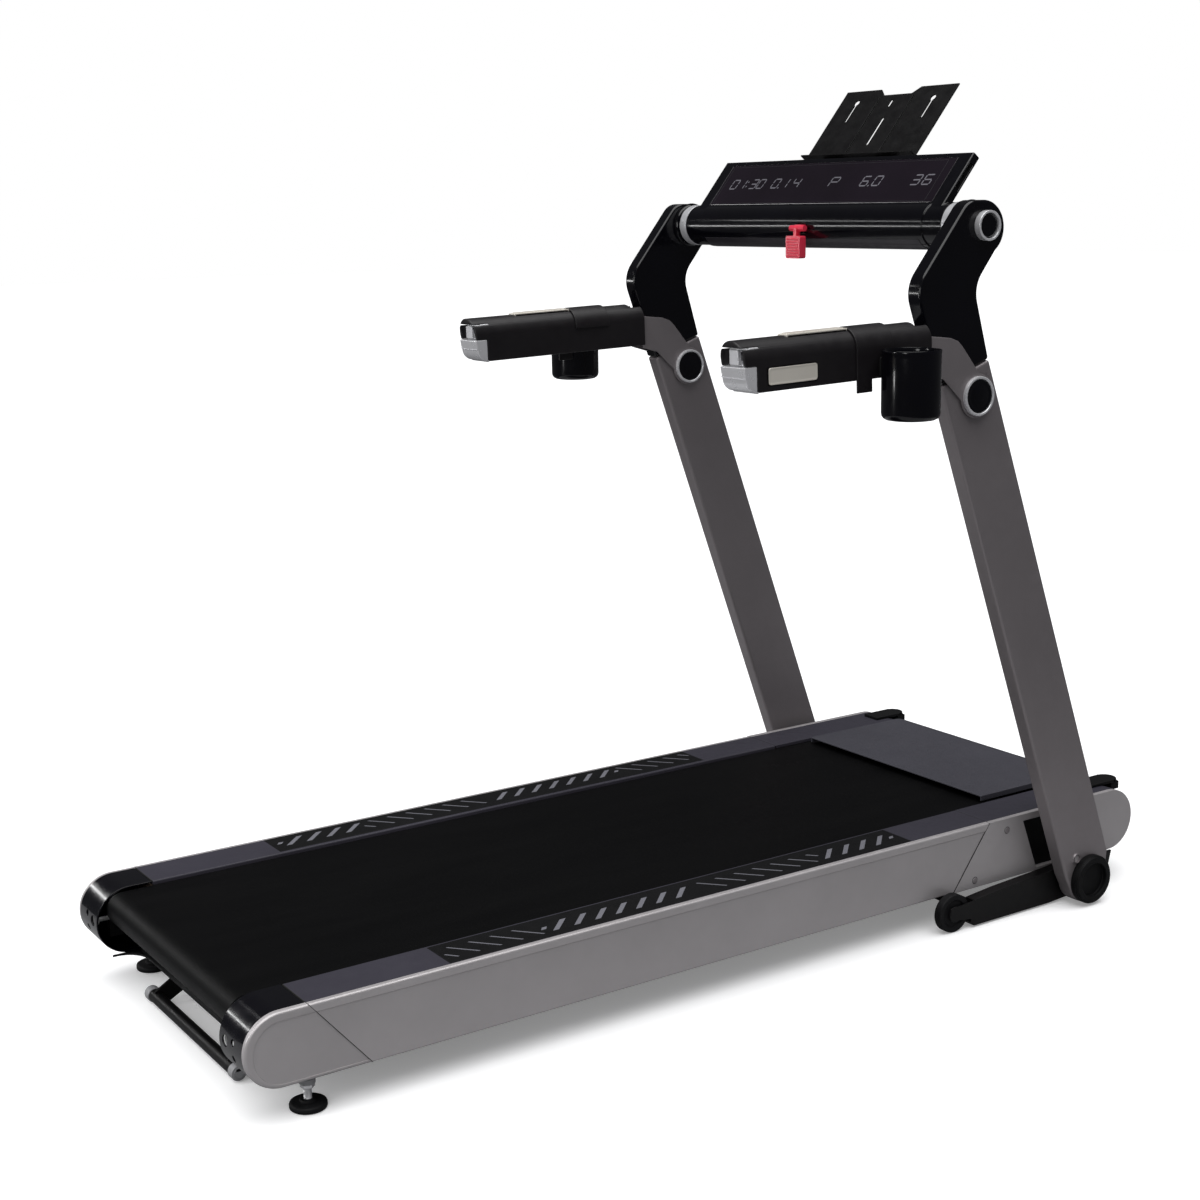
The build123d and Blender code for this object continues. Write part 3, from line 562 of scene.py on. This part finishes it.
def cups():
    """Bottle cups with a rolled rim, a rounded foot and drain slots, on a bracket to the handle saddle."""
    for s in SIDES:
        side = "l" if s < 0 else "r"
        cx, cy = s * CUP_X, CUP_Y
        outer = [(917, 0.5), (917, 33), (917.8, 37.5), (920, 41.5), (923.5, 44.3), (928, 45.2), (1012, 45.5),
                 (1018.5, 45.5), (1020.0, 45.9), (1023.2, 45.9), (1024, 45.3), (1024, 44.0), (1022.5, 43.2),
                 (1018, 43.0), (932, 42.6), (926, 40.5), (922.5, 36), (921, 30), (921, 0.5)]
        count = 96
        rings = []
        for z, radius in outer:
            ring = []
            for i in range(count):
                a = 2 * math.pi * i / count
                ring.append(Vector((cx + radius * math.cos(a), cy + radius * math.sin(a), z)) * MM)
            rings.append(ring)
        verts, faces = bridge(rings)
        piece = new_piece(f"cup_{side}", verts, faces, "gloss_black", "handles")
        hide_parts("cup_holders")
        smooth_by_angle(piece, 50)
        for z0, z1 in ((985, 1000), (958, 962), (930, 934)):
            slot_rings = []
            a0 = math.radians(52) if s > 0 else math.radians(128)
            for r in (45.25, 45.75):
                ring = []
                for i in range(20):
                    a = 2 * math.pi * i / 20
                    w, h = 3.2, (z1 - z0) / 2
                    du = w * math.cos(a) * (1 if h > w else 1.3)
                    dz = h * math.sin(a)
                    turn = a0 + du / 45.5
                    spot = (cx + r * math.cos(turn), cy + r * math.sin(turn), (z0 + z1) / 2 + dz)
                    ring.append(Vector(spot) * MM)
                slot_rings.append(ring)
            mark = new_piece(f"cup_slot_{side}_{int(z0)}", *bridge(slot_rings), "grey_plastic", "handles")
            smooth_by_angle(mark, 40)
        rings = []
        for x, w in ((426.2, 15.5), (430.5, 13.0), (436.0, 12.6)):
            ring = rounded_plate(188.5, 996, 2 * w + 2, 32, 4, ((0, 0),))[0]
            rings.append([Vector((s * x, y, z)) * MM for y, z, _ in ring])
        bracket = new_piece(f"cup_bracket_{side}", *bridge(rings), "matte_black", "handles")
        smooth_by_angle(bracket, 40)


def feet():
    """Levelling feet: rubber pad, threaded stud, lock nut and collar."""
    for s in SIDES:
        side = "l" if s < 0 else "r"
        pad = [(0, 3), (0, 25.2), (0.8, 26.9), (2.2, 27.5), (6.4, 27.5), (8.4, 26.6), (9.6, 24.4), (10, 22),
               (10, 14), (10.6, 12.6), (12.6, 12), (13.6, 11.5), (14, 10), (14, 3)]
        piece = turned(f"foot_pad_{side}", pad, (s * FOOT_X, FOOT_Y, 0), "z", "black_rubber", "deck")
        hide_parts("foot_pads")
        stud = [(14, 2), (14, 6)]
        for i in range(10):
            z = 14.6 + i * 1.6
            stud += [(z, 5.3), (z + 0.8, 6.0)]
        stud += [(31, 5.5), (31, 2)]
        piece = turned(f"foot_stud_{side}", stud, (s * FOOT_X, FOOT_Y, 0), "z", "chrome", "deck")
        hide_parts("foot_studs")
        rings = []
        for z, r in ((31, 10.2), (31.6, 10.9), (36.4, 10.9), (37, 10.2)):
            ring = []
            for i in range(6):
                a = math.radians(60 * i + 10)
                ring.append(Vector((s * FOOT_X + r * math.cos(a), FOOT_Y + r * math.sin(a), z)) * MM)
            rings.append(ring)
        soften(new_piece(f"foot_nut_{side}", *bridge(rings), "chrome", "deck"), 0.4, 2)
        collar = [(37, 7), (37, 11.4), (37.6, 12), (45, 12), (45.8, 11.2), (46, 9.2), (72, 9.0), (72, 3)]
        turned(f"foot_collar_{side}", collar, (s * FOOT_X, FOOT_Y, 0), "z", "grey_plastic", "deck")


# ---------------------------------------------------------------- console

SEGMENTS = {"0": "abcdef", "1": "bc", "2": "abged", "3": "abgcd", "4": "fgbc", "5": "afgcd", "6": "afgedc",
            "7": "abc", "8": "abcdefg", "9": "abcdfg", "P": "abefg"}


def on_slab(x, up, out):
    base, rise, outward = SLAB
    return (base + Vector((x, 0, 0)) + rise * up + outward * out) * MM


def segment_shapes(x, up, width, height, bar):
    """Six-sided bars of one slanted seven-segment digit, as plane points."""
    lean = 0.14
    mid, top = up + height / 2, up + height
    spots = {"a": ((x, top), (x + width, top)), "d": ((x, up), (x + width, up)),
             "g": ((x, mid), (x + width, mid)),
             "f": ((x, mid), (x, top)), "b": ((x + width, mid), (x + width, top)),
             "e": ((x, up), (x, mid)), "c": ((x + width, up), (x + width, mid))}
    shapes = {}
    for key, (p, q) in spots.items():
        a, b = Vector(p), Vector(q)
        along = (b - a).normalized()
        side = Vector((-along.y, along.x)) * bar / 2
        a, b = a + along * bar * 0.18, b - along * bar * 0.18
        ring = [a, a + along * bar / 2 + side, b - along * bar / 2 + side, b, b - along * bar / 2 - side,
                a + along * bar / 2 - side]
        shapes[key] = [(v.x + (v.y - up) * lean, v.y) for v in ring]
    return shapes


def flat_marks(shapes, low=0.02, high=0.16):
    """Thin plates on the slab's face, from outlines in the face's own x and up."""
    solids = [bridge([[on_slab(x, up, out) for x, up in shape] for out in (low, high)]) for shape in shapes]
    return joined(solids)


def square(x, up, size):
    h = size / 2
    return [(x - h, up - h), (x + h, up - h), (x + h + 1, up + h), (x - h + 1, up + h)]


def digits():
    """The numbers on the display, in slanted seven-segment bars."""
    shapes = []
    letters = (("0", -270, 17), ("1", -247, 16), ("3", -212, 16), ("0", -191, 16), ("0", -148, 17),
               ("1", -122, 16), ("4", -90, 17), ("P", 12, 20), ("6", 95, 17), ("0", 126, 17),
               ("3", 222, 18), ("6", 249, 18))
    for letter, x, width in letters:
        bars = segment_shapes(x, 57, width, 20, 2.6)
        shapes += [bars[key] for key in SEGMENTS[letter]]
    for x, up in ((-223, 62), (-223, 72), (-126, 57), (118, 57)):
        shapes.append(square(x, up, 3))
    new_piece("display_digits", *flat_marks(shapes), "digit", "console", "grey_plastic")


def lens():
    """The tinted window, its printed frame and the thin lit edges round it."""
    rings = []
    for out, inset in ((-1.1, 0.0), (-0.35, 0.0), (0.0, 0.4), (0.0, 3.0)):
        ring = rounded_plate(0, 66, 599.4, 91.4, 3.5, ((out, inset),))[0]
        rings.append([on_slab(x, up, o) for x, up, o in ring])
    piece = new_piece("display_window", *bridge(rings), "display", "console")
    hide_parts("display_lens")
    smooth_by_angle(piece, 30)
    lines = []
    for x0, x1, u0, u1 in ((-293, -292, 24, 107), (280, 281, 24, 107), (-292, 280, 23.4, 24),
                           (-292, 280, 107, 107.6)):
        lines.append([(x0, u0), (x1, u0), (x1, u1), (x0, u1)])
    new_piece("display_frame", *flat_marks(lines, 0.02, 0.1), "body_strip", "console", "matte_black")


def tube_strip():
    """The satin control strip set in the underside of the display tube."""
    rings = []
    for x in (-290, 290):
        ring = []
        for r, a0, a1 in ((39.5, 214, 262), (39.02, 262, 214)):
            for i in range(13):
                a = math.radians(a0 + (a1 - a0) * i / 12)
                ring.append(Vector((x, TUBE_Y + r * math.cos(a), TUBE_Z + r * math.sin(a))) * MM)
        rings.append(ring)
    piece = new_piece("tube_strip", *bridge(rings), "body_strip", "console", "matte_black")
    smooth_by_angle(piece, 40)


def key_ribs():
    """Finger ribs and a moulded rim on the red safety key."""
    ribs = []
    for i in range(7):
        z = 1152.5 + i * 4.8
        rings = []
        for y, w in ((349.2, 1.5), (348.3, 1.2), (348.0, 0.7)):
            corners = ((-15.5, -w), (13.5, -w), (13.5, w), (-15.5, w))
            rings.append([Vector((x, y, z + dz)) * MM for x, dz in corners])
        ribs.append(bridge(rings))
    soften(new_piece("key_ribs", *joined(ribs), "red_plastic", "safety_key"), 0.3, 2, 30)


# ---------------------------------------------------------------- round joints

def ring_pieces():
    """Polished rings round the handle pivots and the display arms, with domed buttons inside."""
    for s in SIDES:
        side = "l" if s < 0 else "r"
        for face, out in (("a", 1), ("b", -1)):
            middle = (s * UPRIGHT_X + out * 20.2, PIVOT_Y, PIVOT_Z)
            ring = [(0, 27.6), (0, 32.2), (out * 4.4, 32.2), (out * 5.6, 31.8), (out * 6.2, 30.8),
                    (out * 6.3, 30.0), (out * 6.2, 29.0), (out * 5.6, 28.0), (out * 4.6, 27.6)]
            button = [(0, 2), (0, 27.4), (out * 3.4, 27.4), (out * 4.4, 26.9), (out * 4.9, 25.8),
                      (out * 5.0, 22), (out * 4.7, 21.2), (out * 4.7, 19.0), (out * 5.0, 18.2),
                      (out * 5.0, 0.4)]
            piece = turned(f"pivot_ring_{side}{face}", ring + [ring[0]], middle, "x", "chrome", "handles",
                           caps=(False, False))
            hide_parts("pivot_rings")
            piece = turned(f"pivot_button_{side}{face}", button, middle, "x", "gloss_black", "handles")
            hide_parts("pivot_caps")


def plugs():
    """Blanking discs over the bolt holes, each with a thin shadow line round it."""
    for s in SIDES:
        side = "l" if s < 0 else "r"
        spots = (("post", 409.2, 668, 92, 7.5, "uprights", "silver_paint"),
                 ("upper", 346, 560, 149, 5.5, "deck", "silver_posts"),
                 ("lower", 346, 484, 72, 5.5, "deck", "silver_posts"))
        for where, x, y, z, radius, body, finish in spots:
            disc = [(0, 1), (0, radius), (0.1, radius), (0.32, radius - 0.25), (0.4, radius - 0.8), (0.45, 1)]
            turned(f"plug_{where}_{side}", [(s * d, r) for d, r in disc], (s * x, y, z), "x", finish, body,
                   "grey_plastic")
            # A thin dark ring round each disc: painted shadow line.
            line = [(-0.9, radius), (-0.9, radius + 1.0), (-1.15, radius + 1.0), (-1.15, radius)]
            turned(f"plug_line_{where}_{side}", [(s * d, r) for d, r in line + line[:1]], (s * x, y, z), "x",
                   "seam_dark", body, "matte_black", caps=(False, False))


FINISH = {"upright_posts": "silver_posts", "fork_brackets": "silver_posts", "handle_shells": "handle_plastic",
          "cup_saddles": "handle_plastic", "foot_rails": "rail_plastic", "front_rail_covers": "rail_plastic"}


def dress_all():
    """Every piece of the model, then a material on each CAD node that stays."""
    side_panels()
    rear_side_caps()
    seam_lines()
    recess_shade_plates()
    grip_pads()
    grip_marks()
    badges()
    cups()
    feet()
    digits()
    lens()
    tube_strip()
    key_ribs()
    ring_pieces()
    plugs()
    for node, (width, segments) in SOFT_EDGES.items():
        skin(node, width, segments, material=FINISH.get(node))
    for name, node in NODES.items():
        paint(node, FINISH.get(name, SLOT_OF[name]))


# ---------------------------------------------------------------- stage, light and camera

def paper(name, low, high, lift):
    """Matt studio paper; lift is a little light of its own that keeps the shadows pale."""
    material = bpy.data.materials.new(name)
    tree, shader = links_of(material)
    coords = tree.nodes.new("ShaderNodeTexCoord").outputs["Object"]
    cloud = noise(tree, coords, 0.7, 3.0)
    color = mixed(tree, cloud, (low, low, low * 1.004), (high, high, high))
    tree.links.new(color, shader.inputs["Base Color"])
    tree.links.new(ranged(tree, noise(tree, coords, 40, 3.0), 0.7, 0.8), shader.inputs["Roughness"])
    bump = tree.nodes.new("ShaderNodeBump")
    bump.inputs["Strength"].default_value = 0.02
    bump.inputs["Distance"].default_value = 0.001
    tree.links.new(noise(tree, coords, 900, 2.0), bump.inputs["Height"])
    tree.links.new(bump.outputs[0], shader.inputs["Normal"])
    shader.inputs["Specular IOR Level"].default_value = 0.15
    shader.inputs["Emission Color"].default_value = (1, 1, 1, 1)
    shader.inputs["Emission Strength"].default_value = lift
    return material


def stage():
    """The pale floor that is seen, and a round of it below that lights and reflects in the object."""
    mesh = bpy.data.meshes.new("floor")
    bm = bmesh.new()
    bmesh.ops.create_grid(bm, x_segments=24, y_segments=24, size=30)
    bm.to_mesh(mesh)
    bm.free()
    floor = bpy.data.objects.new("floor", mesh)
    bpy.context.scene.collection.objects.link(floor)
    mesh.materials.append(paper("floor_paper", 0.9, 0.92, 0.22))
    floor.location.z = -0.0006
    floor.visible_glossy = False
    floor.visible_diffuse = False
    mesh = bpy.data.meshes.new("floor_glow")
    bm = bmesh.new()
    bmesh.ops.create_circle(bm, cap_ends=True, segments=96, radius=1.9)
    bmesh.ops.scale(bm, vec=(0.75, 1, 1), verts=bm.verts)
    bm.to_mesh(mesh)
    bm.free()
    glow = bpy.data.objects.new("floor_glow", mesh)
    bpy.context.scene.collection.objects.link(glow)
    mesh.materials.append(paper("glow_paper", 0.8, 0.84, 0.0))
    glow.location.z = -0.004
    glow.visible_camera = False
    glow.visible_shadow = False


def area(name, place, target, size, power):
    """A soft rectangular lamp aimed at a point, for the streaks on dark glossy parts."""
    data = bpy.data.lights.new(name, "AREA")
    data.shape = "RECTANGLE"
    data.size, data.size_y = size
    data.energy = power
    lamp = bpy.data.objects.new(name, data)
    lamp.location = place
    lamp.rotation_euler = (Vector(target) - Vector(place)).to_track_quat("-Z", "Y").to_euler()
    bpy.context.scene.collection.objects.link(lamp)


def lights():
    world = bpy.data.worlds.new("studio")
    bpy.context.scene.world = world
    world.use_nodes = True
    tree = world.node_tree
    tree.nodes.clear()
    out = tree.nodes.new("ShaderNodeOutputWorld")
    mix = tree.nodes.new("ShaderNodeMixShader")
    path = tree.nodes.new("ShaderNodeLightPath")
    fill = tree.nodes.new("ShaderNodeBackground")
    fill.inputs["Color"].default_value = (0.95, 0.96, 1, 1)
    fill.inputs["Strength"].default_value = 0.3
    dim = tree.nodes.new("ShaderNodeBackground")
    dim.inputs["Color"].default_value = (0.95, 0.96, 1, 1)
    dim.inputs["Strength"].default_value = 0.06
    glossy = tree.nodes.new("ShaderNodeMixShader")
    tree.links.new(path.outputs["Is Glossy Ray"], glossy.inputs["Fac"])
    tree.links.new(fill.outputs[0], glossy.inputs[1])
    tree.links.new(dim.outputs[0], glossy.inputs[2])
    white = tree.nodes.new("ShaderNodeBackground")
    white.inputs["Color"].default_value = (1, 1, 1, 1)
    white.inputs["Strength"].default_value = 1.0
    tree.links.new(path.outputs["Is Camera Ray"], mix.inputs["Fac"])
    tree.links.new(glossy.outputs[0], mix.inputs[1])
    tree.links.new(white.outputs[0], mix.inputs[2])
    tree.links.new(mix.outputs[0], out.inputs[0])
    data = bpy.data.lights.new("key", "SUN")
    data.energy = 3.1
    data.angle = math.radians(75)
    lamp = bpy.data.objects.new("key", data)
    lamp.rotation_euler = Vector((-0.12, 0.1, -1.0)).to_track_quat("-Z", "Y").to_euler()
    bpy.context.scene.collection.objects.link(lamp)
    area("rear_strip", (-2.7, -2.05, 1.1), (0, -0.85, 0.1), (1.8, 0.12), 9)
    area("tube_strip_light", (-2.4, -1.6, 2.1), (0, 0.4, 1.2), (0.8, 0.1), 1.2)
    area("cup_strip", (-0.6, -2.6, 1.2), (0.45, 0.2, 0.97), (0.14, 1.6), 16)
    area("chrome_panel", (1.8, -3.0, 1.6), (0.3, 0.1, 1.1), (0.8, 1.2), 12)


def camera():
    yaw, pitch, roll = (math.radians(a) for a in (-56.62, -11.96, -1.01))
    forward = Vector((math.sin(yaw) * math.cos(pitch), math.cos(yaw) * math.cos(pitch), math.sin(pitch)))
    right = Vector((math.cos(yaw), -math.sin(yaw), 0))
    up = right.cross(forward)
    c, s = math.cos(roll), math.sin(roll)
    right, up = right * c + up * s, up * c - right * s
    data = bpy.data.cameras.new("camera")
    data.sensor_width = 36
    data.lens = 56.52
    data.clip_end = 200
    cam = bpy.data.objects.new("camera", data)
    matrix = Matrix((right, up, -forward)).transposed().to_4x4()
    matrix.translation = Vector((2.6075, -1.7862, 1.2527))
    cam.matrix_world = matrix
    bpy.context.scene.collection.objects.link(cam)
    bpy.context.scene.camera = cam
    view = bpy.context.scene.view_settings
    view.view_transform = "Standard"
    view.look = "None"


dress_all()
stage()
lights()
camera()
